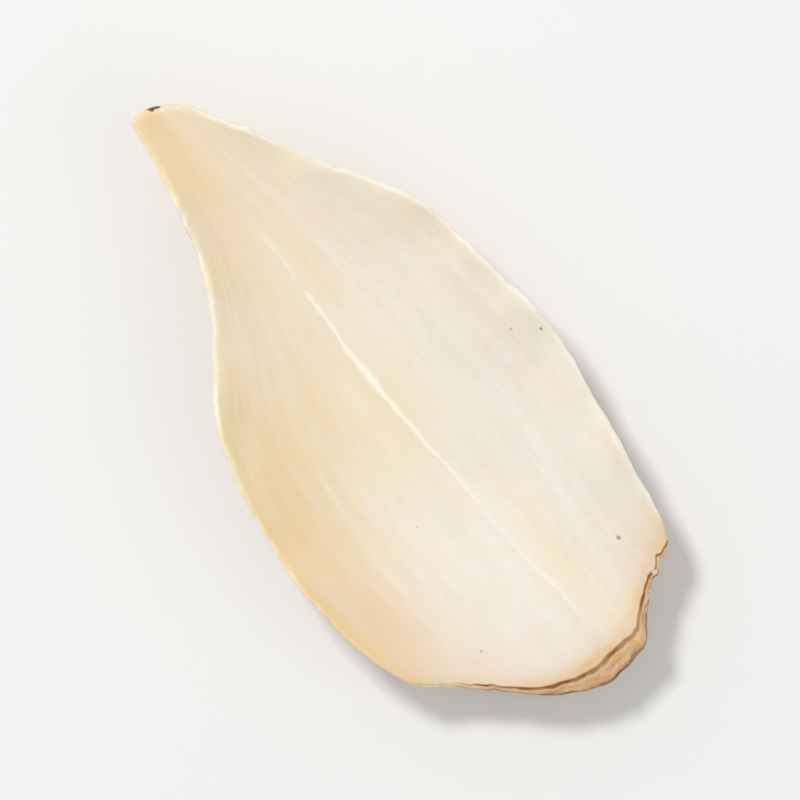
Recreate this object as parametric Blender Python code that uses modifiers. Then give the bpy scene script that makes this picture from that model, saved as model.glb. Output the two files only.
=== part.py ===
"""A dried scale of a lily bulb: one boat-shaped blade, hollow side up, lying on its belly.

Run it with: blender --background --python part.py
Lengths are in millimetres until they go into the mesh. In the blade's own plan, x runs from the
broken base to the tip along the mid vein, y is to its left as seen from above, and z is up.
"""

import math

import bpy
import numpy as np

MM = 0.001

# Grid over the blade, as faces along it and across it. WARP draws the columns in towards the vein.
FACES_ALONG = 50
FACES_ACROSS = 38
WARP = 1.25

# The outline in plan, as (x, y). Both margins and the vein run from the base to the tip.
LEFT_MARGIN = [
    (7.4, 10.2), (10.6, 11.2), (15.4, 11.8), (20.1, 11.5), (24.5, 10.6), (28.1, 9.2),
    (31.2, 7.1), (34.7, 4.5), (38.3, 2.9), (42.3, 1.9), (46.8, 1.2),
]
RIGHT_MARGIN = [
    (4.1, -8.4), (8.6, -9.0), (13.7, -10.0), (19.1, -10.8), (23.0, -10.6), (26.0, -10.2), (28.3, -10.1),
    (31.8, -9.1), (36.1, -6.8), (40.2, -4.6), (44.9, -2.2),
]
VEIN = [(0.4, -0.9), (7.0, -0.6), (13.0, -0.3), (20.5, 0.0), (26.5, -0.1), (35.9, -0.5), (46.5, -0.4)]
# The base and the tip, each from the vein out to the two margins.
BASE_LEFT = [(0.4, -0.9), (0.6, 1.5), (1.6, 3.7), (3.3, 5.8), (5.4, 7.9), (7.4, 10.2)]
BASE_RIGHT = [(0.4, -0.9), (0.7, -2.6), (2.2, -4.6), (3.3, -6.3), (4.1, -8.4)]
TIP_LEFT = [(46.5, -0.4), (46.9, 0.5), (46.8, 1.2)]
TIP_RIGHT = [(46.5, -0.4), (45.9, -1.4), (44.9, -2.2)]

# Heights of the hollow face at stations x: the keel line under the vein, and how far each margin
# stands above it. The powers say how sharply each side turns up to its margin.
KEEL = [
    (0.0, 5.7), (3.0, 4.3), (7.0, 3.2), (12.0, 2.4), (19.0, 2.0), (28.0, 2.5), (36.0, 4.1), (47.0, 7.6),
]
LEFT_RISE = [
    (2.0, 1.2), (7.0, 2.2), (14.0, 3.6), (22.0, 4.0), (29.0, 3.3), (35.0, 2.0), (41.0, 0.8), (47.0, 0.2),
]
RIGHT_RISE = [(2.0, 0.6), (9.0, 2.0), (17.0, 3.0), (26.0, 3.3), (33.0, 2.3), (39.0, 0.8), (45.0, 0.1)]
LEFT_POWER = 2.7
RIGHT_POWER = 2.3
# The tip half is creased along the vein, which lifts both margins by this much more.
# A span is where a feature starts and ends along x, and how far it takes to fade in and out.
CREASE_LIFT = 0.6
CREASE_SPAN = (17.0, 47.0, 9.0)

# Thickness at the vein at stations x, and at the margins.
CORE_THICKNESS = [(0.0, 2.5), (10.0, 2.4), (20.0, 2.2), (30.0, 1.8), (40.0, 1.3), (47.0, 1.0)]
MARGIN_THICKNESS = 0.65
THINNING_POWER = 2.4
# The blade thins towards the two corners of its base: by up to this share, this far along the
# blade's length, and between these two places on the way from the vein, at 0, to a margin, at 1.
CORNER_THINNING = 0.65
CORNER_LENGTH = 2.5
CORNER_OUT = (0.05, 0.6)
BLADE_LENGTH = 46.0

# Waves of the dried margins, a long and a short one on each: height, length, and start in waves.
# The power keeps them to the margins, and the span keeps them off the tip.
LEFT_WAVES = [(0.24, 13.1, 0.15), (0.14, 6.3, 0.70)]
RIGHT_WAVES = [(0.26, 11.3, 0.40), (0.16, 5.1, 0.10)]
WAVE_POWER = 5
WAVE_SPAN = (-9.0, 46.0, 8.0)

# Relief: the raised vein and the trough beside it on the hollow face, and ribs on the belly.
VEIN_HEIGHT = 0.16
VEIN_HALF_WIDTH = 0.35
VEIN_SPAN = (2.5, 36.0, 3.0)
TROUGH_DEPTH = 0.25
TROUGH_HALF_WIDTH = 1.2
TROUGH_Y = -2.3
TROUGH_SPAN = (1.5, 19.0, 6.0)
RIB_HEIGHT = 0.14
RIBS_EACH_SIDE = 4

# The belly is flattened by this much where the blade rests, by a cutter this deep and this much
# wider than the blade.
FLAT_DEPTH = 0.2
CUTTER_DEPTH = 5.0
CUTTER_SPREAD = 1.2

COLOUR = (0.88, 0.77, 0.58, 1.0)
ROUGHNESS = 0.55


def hermite(knots, values, slopes, at):
    """Values of the smooth curve with these slopes at its knots."""
    i = np.clip(np.searchsorted(knots, at, side="right") - 1, 0, len(knots) - 2)
    span = knots[i + 1] - knots[i]
    t = (at - knots[i]) / span
    return (
        (2 * t**3 - 3 * t**2 + 1) * values[i]
        + (t**3 - 2 * t**2 + t) * span * slopes[i]
        + (3 * t**2 - 2 * t**3) * values[i + 1]
        + (t**3 - t**2) * span * slopes[i + 1]
    )


def height_at(stations, x):
    """A smooth profile through (x, value) stations, held level past its ends."""
    knots, values = np.array(stations, float).T
    return hermite(knots, values, np.gradient(values, knots), np.clip(x, knots[0], knots[-1]))


def point_at(points, share):
    """(x, y) on a smooth curve through the points, at shares 0 to 1 of its length."""
    points = np.array(points, float)
    steps = np.linalg.norm(np.diff(points, axis=0), axis=1)
    knots = np.concatenate([[0.0], np.cumsum(steps)]) / steps.sum()
    return np.array([hermite(knots, axis, np.gradient(axis, knots), share) for axis in points.T])


def half_blade(margin, base, tip, along, out):
    """Plan of one half: a patch between the vein, its margin, and its halves of base and tip."""
    vein_side = point_at(VEIN, along)
    margin_side = point_at(margin, along)
    ends = (1 - along) * point_at(base, out) + along * point_at(tip, out)
    near = (1 - along) * point_at(VEIN, np.zeros(1)) + along * point_at(VEIN, np.ones(1))
    far = (1 - along) * point_at(margin, np.zeros(1)) + along * point_at(margin, np.ones(1))
    return (1 - out) * (vein_side - near) + out * (margin_side - far) + ends


def plan(along, across):
    """Plan position for along from 0 at the base to 1 at the tip, and across from -1, right, to 1."""
    out = np.abs(across)
    left = half_blade(LEFT_MARGIN, BASE_LEFT, TIP_LEFT, along, out)
    right = half_blade(RIGHT_MARGIN, BASE_RIGHT, TIP_RIGHT, along, out)
    return np.where(across > 0, left, right)


def smooth_step(t):
    t = np.clip(t, 0, 1)
    return t * t * (3 - 2 * t)


def window(x, span):
    """1 inside a span of (start, end, fade), fading to 0 at each end."""
    start, end, fade = span
    return smooth_step(np.clip((x - start) / fade, 0, 1) * np.clip((end - x) / fade, 0, 1))


def ruffle(x, out, waves):
    """Height of a margin's waves."""
    total = sum(height * np.sin(2 * math.pi * (x / length + start)) for height, length, start in waves)
    return total * out**WAVE_POWER * window(x, WAVE_SPAN)


def hollow_height(x, across):
    """Height of the hollow face, without its relief."""
    out = np.abs(across)
    left = height_at(LEFT_RISE, x) * out**LEFT_POWER + ruffle(x, out, LEFT_WAVES)
    right = height_at(RIGHT_RISE, x) * out**RIGHT_POWER + ruffle(x, out, RIGHT_WAVES)
    crease = CREASE_LIFT * out * window(x, CREASE_SPAN)
    return height_at(KEEL, x) + crease + np.where(across > 0, left, right)


def relief(x, y, along):
    """Height of the vein and of the trough beside it."""
    from_vein = (y - point_at(VEIN, along)[1]) / VEIN_HALF_WIDTH
    from_trough = (y - TROUGH_Y) / TROUGH_HALF_WIDTH
    ridge = VEIN_HEIGHT * np.exp(-(from_vein**2)) * window(x, VEIN_SPAN)
    return ridge - TROUGH_DEPTH * np.exp(-(from_trough**2)) * window(x, TROUGH_SPAN)


def thickness(x, along, across):
    """Thickness of the blade, with the ribs that stand out of its belly."""
    out = np.abs(across)
    first, last = CORNER_OUT
    to_corner = smooth_step((out - first) / (last - first)) * np.exp(-along * BLADE_LENGTH / CORNER_LENGTH)
    core = height_at(CORE_THICKNESS, x) * (1 - CORNER_THINNING * to_corner)
    ribs = RIB_HEIGHT * (0.5 + 0.5 * np.cos(2 * math.pi * RIBS_EACH_SIDE * out))
    fade = np.sin(math.pi * along) * (1 - out**4)
    return MARGIN_THICKNESS + (core - MARGIN_THICKNESS) * (1 - out**THINNING_POWER) + ribs * fade


def dried_flesh():
    material = bpy.data.materials.new("dried_flesh")
    material.use_nodes = True
    shader = material.node_tree.nodes["Principled BSDF"]
    shader.inputs["Base Color"].default_value = COLOUR
    shader.inputs["Roughness"].default_value = ROUGHNESS
    return material


def move_to(collection, obj):
    for old in list(obj.users_collection):
        old.objects.unlink(obj)
    collection.objects.link(obj)


def place_vertices(mesh, points):
    mesh.vertices.foreach_set("co", (points * MM).ravel())
    mesh.update()


def make_blade(collection):
    """The hollow face as a bent grid, thickened downwards, then given its relief."""
    bpy.ops.mesh.primitive_grid_add(x_subdivisions=FACES_ALONG, y_subdivisions=FACES_ACROSS, size=2)
    blade = bpy.context.object
    blade.name = blade.data.name = "lily_scale"
    grid = np.array([vertex.co for vertex in blade.data.vertices], float)
    along = (grid[:, 0] + 1) / 2
    across = np.sign(grid[:, 1]) * np.abs(grid[:, 1]) ** WARP
    x, y = plan(along, across)
    place_vertices(blade.data, np.stack([x, y, hollow_height(x, across)], 1))

    thick = thickness(x, along, across)
    weights = blade.vertex_groups.new(name="thickness")
    for index, share in enumerate(thick / thick.max()):
        weights.add([index], float(share), "REPLACE")
    solidify = blade.modifiers.new("thickness", "SOLIDIFY")
    solidify.thickness = float(thick.max()) * MM
    solidify.offset = -1
    solidify.vertex_group = weights.name
    bpy.ops.object.modifier_apply(modifier=solidify.name)

    # Solidify keeps the hollow face's vertices first and in their order.
    points = np.array([vertex.co for vertex in blade.data.vertices]) / MM
    points[: len(x), 2] += relief(x, y, along)
    place_vertices(blade.data, points)

    blade.data.materials.append(dried_flesh())
    blade.data.shade_smooth()
    move_to(collection, blade)
    return blade


def corners(obj):
    """Lowest and highest corner of the object as evaluated."""
    evaluated = obj.evaluated_get(bpy.context.evaluated_depsgraph_get())
    points = np.array([obj.matrix_world @ vertex.co for vertex in evaluated.data.vertices])
    return points.min(axis=0), points.max(axis=0)


def seat(blade):
    """Centres the blade over the origin, its belly FLAT_DEPTH below the ground."""
    low, high = corners(blade)
    middle = (low + high) / 2
    blade.location = (-middle[0], -middle[1], -low[2] - FLAT_DEPTH * MM)


def flatten_belly(blade, cutters):
    """Cuts the belly off level with the ground."""
    low, high = corners(blade)
    bpy.ops.mesh.primitive_cube_add(size=1)
    ground = bpy.context.object
    ground.name = "ground_cutter"
    ground.scale = (*(CUTTER_SPREAD * (high - low)[:2]), CUTTER_DEPTH * MM)
    ground.location = (0, 0, -CUTTER_DEPTH / 2 * MM)
    ground.hide_render = True
    ground.display_type = "WIRE"
    move_to(cutters, ground)
    cut = blade.modifiers.new("flat_spot", "BOOLEAN")
    cut.operation = "DIFFERENCE"
    cut.object = ground


def clear_scene():
    for obj in list(bpy.data.objects):
        bpy.data.objects.remove(obj)


def new_collection(name):
    collection = bpy.data.collections.new(name)
    bpy.context.scene.collection.children.link(collection)
    return collection


def main():
    clear_scene()
    blade = make_blade(new_collection("dried_lily_bulb_scale"))
    seat(blade)
    flatten_belly(blade, new_collection("cutters"))


main()
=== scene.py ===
"""The finished look of one dried lily-bulb scale, lying hollow side up.

Lengths are in millimetres until they go into a mesh or a shader. As in the CAD part, the blade's own
plan has x from the broken base to the tip along the mid vein, y to its left as seen from above, and
z up. In shares of the blade, along runs from 0 at the base to 1 at the tip, and across from -1 at the
right margin through 0 at the vein to 1 at the left margin. out is the size of across.

A station is an (x, value) pair of a smooth profile. A span is (start, end, fade) along x: what it
holds is whole in its middle and fades out over fade at both ends. A layer of noise is (strength, rate
along its first coordinate, rate along its second one, seed), a rate being its random values to a unit.
"""

import math
from types import SimpleNamespace

import bpy
import numpy as np
from mathutils import Matrix, Vector


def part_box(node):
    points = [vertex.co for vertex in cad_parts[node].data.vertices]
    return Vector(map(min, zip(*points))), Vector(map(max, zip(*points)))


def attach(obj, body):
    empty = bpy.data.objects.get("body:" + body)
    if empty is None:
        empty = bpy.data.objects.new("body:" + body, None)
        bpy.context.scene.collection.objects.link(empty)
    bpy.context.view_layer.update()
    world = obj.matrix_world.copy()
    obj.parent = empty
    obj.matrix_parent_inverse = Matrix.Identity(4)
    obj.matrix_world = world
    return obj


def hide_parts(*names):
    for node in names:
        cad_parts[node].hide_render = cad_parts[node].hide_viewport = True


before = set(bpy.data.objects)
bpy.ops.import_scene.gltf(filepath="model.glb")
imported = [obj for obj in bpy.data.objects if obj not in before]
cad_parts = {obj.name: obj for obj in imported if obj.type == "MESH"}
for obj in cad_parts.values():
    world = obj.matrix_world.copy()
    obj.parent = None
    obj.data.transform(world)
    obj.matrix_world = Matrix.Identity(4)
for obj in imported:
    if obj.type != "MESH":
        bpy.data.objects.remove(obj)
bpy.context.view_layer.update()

MM = 0.001
NODE = "lily_scale"
RIGHT, LEFT = -1, 1

# --- The blade's form: as in the CAD part, but with thinner margins and a rounded crease ----------

# The outline in plan, as (x, y). Both margins and the vein run from the base to the tip.
LEFT_MARGIN = [
    (7.4, 10.2), (10.6, 11.2), (15.4, 11.8), (20.1, 11.5), (24.5, 10.6), (28.1, 9.2),
    (31.2, 7.1), (34.7, 4.5), (38.3, 2.9), (42.3, 1.9), (46.8, 1.2),
]
RIGHT_MARGIN = [
    (4.1, -8.4), (8.6, -9.0), (13.7, -10.0), (19.1, -10.8), (23.0, -10.6), (26.0, -10.2), (28.3, -10.1),
    (31.8, -9.1), (36.1, -6.8), (40.2, -4.6), (44.9, -2.2),
]
VEIN = [(0.4, -0.9), (7.0, -0.6), (13.0, -0.3), (20.5, 0.0), (26.5, -0.1), (35.9, -0.5), (46.5, -0.4)]
# The base and the tip, each from the vein out to the two margins.
BASE_LEFT = [(0.4, -0.9), (0.6, 1.5), (1.6, 3.7), (3.3, 5.8), (5.4, 7.9), (7.4, 10.2)]
BASE_RIGHT = [(0.4, -0.9), (0.7, -2.6), (2.2, -4.6), (3.3, -6.3), (4.1, -8.4)]
TIP_LEFT = [(46.5, -0.4), (46.9, 0.5), (46.8, 1.2)]
TIP_RIGHT = [(46.5, -0.4), (45.9, -1.4), (44.9, -2.2)]

# Heights of the hollow face at stations x: the keel line under the vein, and how far each margin
# stands above it. The powers say how sharply each side turns up to its margin.
KEEL = [
    (0.0, 5.7), (3.0, 4.3), (7.0, 3.2), (12.0, 2.4), (19.0, 2.0), (28.0, 2.5), (36.0, 4.1), (47.0, 7.6),
]
LEFT_RISE = [
    (2.0, 1.2), (7.0, 2.2), (14.0, 3.6), (22.0, 4.0), (29.0, 3.3), (35.0, 2.0), (41.0, 0.8), (47.0, 0.2),
]
RIGHT_RISE = [(2.0, 0.6), (9.0, 2.0), (17.0, 3.0), (26.0, 3.3), (33.0, 2.3), (39.0, 0.8), (45.0, 0.1)]
LEFT_POWER = 2.7
RIGHT_POWER = 2.3
# The tip half is creased along the vein, which lifts both margins by this much more. The bottom of
# the crease is rounded this far out.
CREASE_LIFT = 0.6
CREASE_ROUNDING = 0.02
CREASE_SPAN = (17.0, 47.0, 9.0)

# Waves of the dried margins, a long and a short one on each: height, length, and start in waves.
# The power keeps them to the margins, and the span keeps them off the tip.
LEFT_WAVES = [(0.24, 13.1, 0.15), (0.14, 6.3, 0.70)]
RIGHT_WAVES = [(0.26, 11.3, 0.40), (0.16, 5.1, 0.10)]
WAVE_POWER = 5
WAVE_SPAN = (-9.0, 46.0, 8.0)

# Thickness at the vein at stations x, and at the margins. The higher the power, the further out the
# blade stays thick.
CORE_THICKNESS = [(0.0, 2.5), (10.0, 2.4), (20.0, 2.2), (30.0, 1.8), (40.0, 1.3), (47.0, 1.0)]
MARGIN_THICKNESS = 0.5
THINNING_POWER = 2.4
# The blade thins towards the two corners of its base: by up to this share, this far along the
# blade's length, and between these two places on the way out from the vein to a margin.
CORNER_THINNING = 0.65
CORNER_LENGTH = 2.5
CORNER_OUT = (0.05, 0.6)

# The trough beside the vein, and the ribs of the belly, which reach further out the higher their
# power.
TROUGH_DEPTH = 0.25
TROUGH_HALF_WIDTH = 1.2
TROUGH_Y = -2.3
TROUGH_SPAN = (1.5, 19.0, 6.0)
RIB_HEIGHT = 0.14
RIBS_EACH_SIDE = 4
RIB_POWER = 4

# The belly is flattened by this much where the blade rests.
FLAT_DEPTH = 0.2

# --- The grid that carries the fine surface -------------------------------------------------------

# Faces along and across the hollow face, with as many on the belly. The rounded edges have rows of
# their own. WARP draws the columns in towards the vein.
FACES_ALONG = 214
FACES_ACROSS = 176
WARP = 1.12
# Single normals are rough near the tip, where the grid's lines meet at a slant, so each is averaged
# with its neighbours this many times.
EVENING_ROUNDS = 8
# The flow coordinates, which follow the veins, run this far along the blade and out to each margin.
BLADE_LENGTH = 46.0
BLADE_HALF_WIDTH = 10.5
# A line across the curved blade is about this many times as long as it is in plan.
CURVE_GAIN = 1.08

# Rounding of the edges: rows, how far in it reaches, its power, 2 for round and more for square, and
# half the thickness there. The curve is measured at this many samples.
BASE_EDGE_REACH = 0.40
BASE_EDGE = (18, BASE_EDGE_REACH, 3.6, 1.2)
TIP_EDGE = (7, 0.40, 2.4, 0.5)
MARGIN_EDGE = (7, 0.20, 2.0, MARGIN_THICKNESS / 2)
EDGE_SAMPLES = 400
# The rounding draws the outline in, so the margins first go out by this much.
OUTLINE_GAIN = 0.15

# Noise has one random value at each whole coordinate, and repeats after this many.
NOISE_PERIOD = 64

# --- What the finished surface adds ---------------------------------------------------------------

# Nicks out of the outline: side, x, depth, half length. A fine unevenness is added to them, whose
# second coordinate is always 1, so that it only picks a row of the random values.
NICKS = [
    (RIGHT, 26.4, 0.22, 0.7), (RIGHT, 21.6, 0.10, 0.5), (RIGHT, 36.1, 0.14, 0.6),
    (RIGHT, 11.8, 0.10, 0.6), (RIGHT, 0.4, 0.5, 1.3), (RIGHT, 46.5, 0.55, 1.9),
    (LEFT, 8.0, 0.20, 0.35), (LEFT, 9.4, 0.13, 0.5), (LEFT, 30.6, 0.12, 0.7), (LEFT, 39.0, 0.10, 0.6),
]
OUTLINE_NOISE = {
    RIGHT: [(0.05, 1.1, 2.0, 5), (0.03, 3.3, 0.0, 5)],
    LEFT: [(0.05, 1.1, 4.0, 5), (0.03, 3.3, 0.0, 7)],
}

# Tears along the broken base: across, depth, half width, where a depth below 0 is a flap that stands
# out. They and the raggedness of the whole base die out over this reach inwards.
TEARS = [
    (-0.66, 0.22, 0.030), (-0.735, -0.26, 0.035), (-0.81, 0.20, 0.030), (-0.88, -0.12, 0.030),
    (0.30, 0.10, 0.05), (0.62, 0.14, 0.03), (0.75, -0.10, 0.03), (0.87, 0.14, 0.03),
]
RAGGED_NOISE = [(0.10, 9.0, 0.0, 21), (0.06, 27.0, 0.0, 22)]
TEAR_REACH = 1.2
# The break slants, so the hollow face stops short of its outermost line: by this depth round this y,
# with this half width. The face is drawn back over this reach inwards.
SLANT_DEPTH = 0.42
SLANT_Y = -0.5
SLANT_HALF_WIDTH = 3.2
SLANT_REACH = 1.2
# The fibres of the break stand out at random, and in full once the edge has lost 1 / FIBRE_GROWTH of
# the half thickness.
FIBRE_NOISE = [(0.14, 0.8, 1.3, 71), (0.09, 1.9, 2.6, 72), (0.045, 4.1, 5.2, 73)]
FIBRE_GROWTH = 1.6

# The mid vein, thinner than its swelling in the CAD part, with a low swelling round it.
VEIN_HEIGHT = 0.15
VEIN_HALF_WIDTH = 0.135
VEIN_SWELL = 0.06
VEIN_SWELL_HALF_WIDTH = 0.6
VEIN_SPAN = (2.5, 38.0, 4.0)
# It wanders, it is beaded, and it is this much wider round one x, over this half length.
VEIN_WANDER = [(0.10, 0.35, 0.0, 30), (0.045, 1.1, 0.0, 33)]
VEIN_BEADS = [(0.045, 0.8, 0.0, 32), (0.0675, 1.9, 0.0, 34)]
VEIN_WIDENING = 0.06
VEIN_WIDEST_X = 24.5
VEIN_WIDEST_HALF_LENGTH = 3.5
# How plainly it shows, at stations x, times a steady share to which fading noise is added.
VEIN_STRENGTH = [(2.0, 0.45), (17.0, 0.45), (20.5, 0.85), (26.0, 1.0), (31.0, 0.7), (38.0, 0.25)]
VEIN_STEADY = 0.85
VEIN_FADING = [(0.25, 0.6, 0.0, 31)]

# Lesser veins: across, height, half width, and the x between which they show, fading at both ends.
# Each wanders and fades by noise of its own, because its number is added to the seeds.
LESSER_VEINS = [
    (-0.84, 0.020, 0.10, (6, 36)), (-0.68, 0.030, 0.12, (4, 40)), (-0.50, 0.022, 0.10, (8, 38)),
    (-0.29, 0.040, 0.11, (18, 35)), (-0.14, 0.018, 0.10, (4, 26)), (0.17, 0.020, 0.10, (6, 38)),
    (0.34, 0.028, 0.11, (5, 40)), (0.47, 0.018, 0.09, (10, 34)), (0.585, 0.045, 0.13, (9, 27)),
    (0.70, 0.026, 0.10, (9, 37)), (0.82, 0.022, 0.10, (8, 34)),
]
LESSER_FADE = 5
LESSER_WANDER = [(0.14, 0.12, 0.0, 40)]
LESSER_STEADY = 0.6
LESSER_FADING = [(0.6, 0.35, 0.0, 60)]
# Their colour shows this plainly on the belly, as a share of how it shows on the hollow face.
LESSER_ON_BELLY = 0.5

# Relief of both faces: broad buckles, wrinkles along the veins, and puckers that grow from this far
# out to the margin.
HOLLOW_BUCKLES = [(0.055, 0.16, 0.33, 81)]
HOLLOW_WRINKLES = [(0.022, 0.30, 0.9, 82), (0.010, 0.22, 2.6, 83)]
HOLLOW_PUCKERS = [(0.05, 0.55, 0.35, 85), (0.035, 1.25, 0.5, 86)]
HOLLOW_PUCKERS_OUT = 0.62
BELLY_BUCKLES = [(0.035, 0.14, 0.45, 91)]
BELLY_WRINKLES = [(0.018, 0.25, 1.3, 92), (0.012, 0.22, 3.0, 93)]
BELLY_PUCKERS = [(0.05, 0.5, 0.3, 95), (0.03, 1.1, 0.5, 96)]
BELLY_PUCKERS_OUT = 0.6
PUCKER_POWER = 1.6
# Wrinkles, lesser veins and streaks of tan die out where the tip draws their lines together.
WIDE_SPAN = (-18.0, 47.0, 18.0)

# --- Where the colours lie ------------------------------------------------------------------------

# How tan the hollow face turns towards the tip, at stations x, on its left and right, and the places
# across between which the right gives way to the left. From x 19 to 34 the left is made tanner than
# the right as a painted shadow.
TAN_AND_SHADE_LEFT = [(11.0, 0.0), (19.0, 0.42), (26.0, 0.62), (34.0, 0.62), (40.0, 0.88), (46.0, 1.0)]
TAN_RIGHT = [(20.0, 0.0), (30.0, 0.15), (38.0, 0.42), (46.0, 0.72)]
TAN_CROSSING = (-0.45, 0.35)
# More tan up the left side, which is a painted shadow, growing between two places across within a
# span, and more tan beside the base.
SHADOW_TAN_UP_LEFT = 0.55
SHADOW_TAN_UP_LEFT_ACROSS = (0.1, 1.0)
SHADOW_TAN_UP_LEFT_SPAN = (0, 34, 10)
TAN_BY_BASE = 0.4
TAN_BY_BASE_REACH = 1.6
# The belly is this tan all over. It turns more so between two x towards the tip, and along the keel,
# this far out from it and up to this x.
BELLY_TAN = 0.35
BELLY_TAN_TO_TIP = 0.5
BELLY_TAN_TIP_ENDS = (22, 44)
BELLY_TAN_KEEL = 0.4
BELLY_TAN_KEEL_OUT = 0.35
BELLY_TAN_KEEL_END = 14

# The blade is dull beside the base. The hollow face is scorched there round one y, in bands of
# (strength, width) that start this far in, and the belly over a reach.
DULL_SHARE = 0.5
DULL_REACH = 4.0
SCORCH_Y = -0.5
SCORCH_HALF_WIDTH = 6.5
SCORCH_START = 0.3
SCORCH_BANDS = [(0.80, 0.7), (0.20, 1.5)]
BELLY_SCORCH_REACH = 1.5
# The break is brown up to the first of these y and pale from the second, with some unevenness.
BROWNED_ENDS = (6.4, 8.4)
BROWNED_NOISE = [(0.7, 1.3, 0.0, 23)]

# Patches of colour: x, y, half length, half width, strength. Some are painted shade or shadow, as noted
# above each table.
# The first yellow patch, along the trough beside the vein, is painted shade in it, and the broad last one
# across the middle of the blade is a painted shadow; the others are the flesh's own yellow.
YELLOW_AND_SHADE_PATCHES = [
    (8.0, -2.2, 7.0, 1.1, 0.40), (4.0, 3.2, 0.5, 0.35, 0.40), (5.2, -0.2, 0.5, 0.3, 0.40),
    (6.3, -2.2, 0.4, 0.3, 0.40), (32.8, -1.8, 3.6, 1.0, 0.38), (41.5, 0.3, 3.0, 1.0, 0.40),
    (2.2, -3.4, 1.5, 2.2, 0.35), (22.5, 0.6, 4.5, 3.6, 0.32),
]
ROSE_PATCHES = [(17.0, -9.0, 8.0, 1.6, 0.06), (27.0, -9.6, 6.0, 1.0, 0.12), (4.5, 7.0, 2.5, 2.0, 0.35)]
# The first two amber patches, up the lower left margin, are a painted shadow; the others are the flesh's
# own amber beside the base and at the tip.
AMBER_AND_SHADOW_PATCHES = [
    (11.2, 9.8, 4.0, 2.4, 0.50), (17.5, 10.6, 5.0, 2.2, 0.34), (4.0, -7.5, 2.0, 2.0, 0.15),
    (46.2, 0.4, 1.4, 1.0, 0.35), (42.2, 0.5, 1.8, 0.8, 0.18),
]
# Amber rims likewise: the two up the lower left margin are a painted shadow, the one beside the base is
# the flesh's own amber.
AMBER_AND_SHADOW_RIMS = [(12.0, 11.5, 7.0, 2.0, 0.7), (4.0, -7.5, 2.5, 2.5, 0.5), (7.0, 10.0, 2.0, 2.0, 0.7)]

# Small marks on the hollow face, of specks and of the flap that is torn beside the break: x, y, radius
# along and across, strength.
SPECKS = [
    (21.1, -9.0, 0.10, 0.09, 0.45), (19.9, -10.5, 0.11, 0.08, 0.8), (6.35, -5.8, 0.16, 0.13, 0.6),
    (15.1, 3.8, 0.08, 0.07, 0.4), (6.3, 5.7, 0.10, 0.09, 0.35), (3.3, -7.4, 0.22, 0.50, 0.5),
]
TORN_FLAP = (2.75, -6.2, 0.50, 0.34, 0.7)
# The scar on the end of the tip, in x, y and z: its middle and its radii.
TIP_SCAR = (46.65, -0.42, 7.1)
TIP_SCAR_RADII = (0.24, 0.62, 0.36)

# Colours, linear.
CREAM = (0.80, 0.75, 0.66)
PALE = (0.84, 0.805, 0.74)
TAN = (0.785, 0.65, 0.42)
YELLOW = (0.84, 0.69, 0.43)
ROSE = (0.82, 0.66, 0.56)
AMBER = (0.78, 0.53, 0.27)
BELLY_CLOUD = (0.80, 0.60, 0.42)
# The pale rim is partly the thin margin's own paler tone and partly a painted highlight where the edge
# catches the light.
RIM_AND_HIGHLIGHT = (0.93, 0.87, 0.77)
VEIN_COLOUR = (0.96, 0.93, 0.85)
DULL = (0.60, 0.55, 0.47)
SCORCHED = (0.66, 0.41, 0.15)
# The break's colours are its own pinkish brown, made brighter and warmer than that as painted bounce
# light on its shaded faces.
BROKEN_FLESH_AND_BOUNCE = (0.98, 0.69, 0.41)
BROKEN_DARK_AND_BOUNCE = (0.97, 0.54, 0.24)
PALE_BREAK_AND_BOUNCE = (0.98, 0.77, 0.49)
BROWN_LINE = (0.26, 0.09, 0.015)
# The torn flap is its own pale cream, made brighter as painted light on its shaded side.
FLAP_AND_PAINTED_LIGHT = (0.98, 0.90, 0.80)
SPECK_COLOUR = (0.22, 0.13, 0.07)
SCAR_COLOUR = (0.18, 0.08, 0.03)

# --- Studio ---------------------------------------------------------------------------------------

FLOOR_HALF_SIZE = 1.5
FLOOR_COLOUR = (0.82, 0.82, 0.82, 1.0)
FLOOR_ROUGHNESS = 0.9
# Each light: where it shines from, its distance and size in metres, its watts and its colour.
KEY_LIGHT = ((1.0, 0.02, 1.5), 0.6, 0.11, 1.9, (1.0, 0.985, 0.96))
FILL_LIGHT = ((-1.0, -0.4, 0.75), 0.8, 0.8, 1.2, (1.0, 1.0, 1.0))
AMBIENT_COLOUR = (1.0, 0.995, 0.985, 1.0)
AMBIENT = 0.58
# The photograph looks straight down on the blade, its tip at the upper left of the picture.
IMAGE_RIGHT = (-0.6366, -0.7712, 0.0)
IMAGE_UP = (0.7712, -0.6366, 0.0)
LENS = 500.0
CAMERA_HEIGHT = 0.72
CAMERA_NEAR = 0.01


# --- Curves and noise -----------------------------------------------------------------------------


def hermite(knots, values, slopes, at):
    """Values of the smooth curve with these slopes at its knots."""
    i = np.clip(np.searchsorted(knots, at, side="right") - 1, 0, len(knots) - 2)
    span = knots[i + 1] - knots[i]
    t = (at - knots[i]) / span
    return (
        (2 * t**3 - 3 * t**2 + 1) * values[i]
        + (t**3 - 2 * t**2 + t) * span * slopes[i]
        + (3 * t**2 - 2 * t**3) * values[i + 1]
        + (t**3 - t**2) * span * slopes[i + 1]
    )


def height_at(stations, x):
    """A smooth profile through (x, value) stations, held level past its ends."""
    knots, values = np.array(stations, float).T
    return hermite(knots, values, np.gradient(values, knots), np.clip(x, knots[0], knots[-1]))


def point_at(points, share):
    """(x, y) on a smooth curve through the points, at shares 0 to 1 of its length."""
    points = np.array(points, float)
    steps = np.linalg.norm(np.diff(points, axis=0), axis=1)
    knots = np.concatenate([[0.0], np.cumsum(steps)]) / steps.sum()
    return np.array([hermite(knots, axis, np.gradient(axis, knots), share) for axis in points.T])


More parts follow.
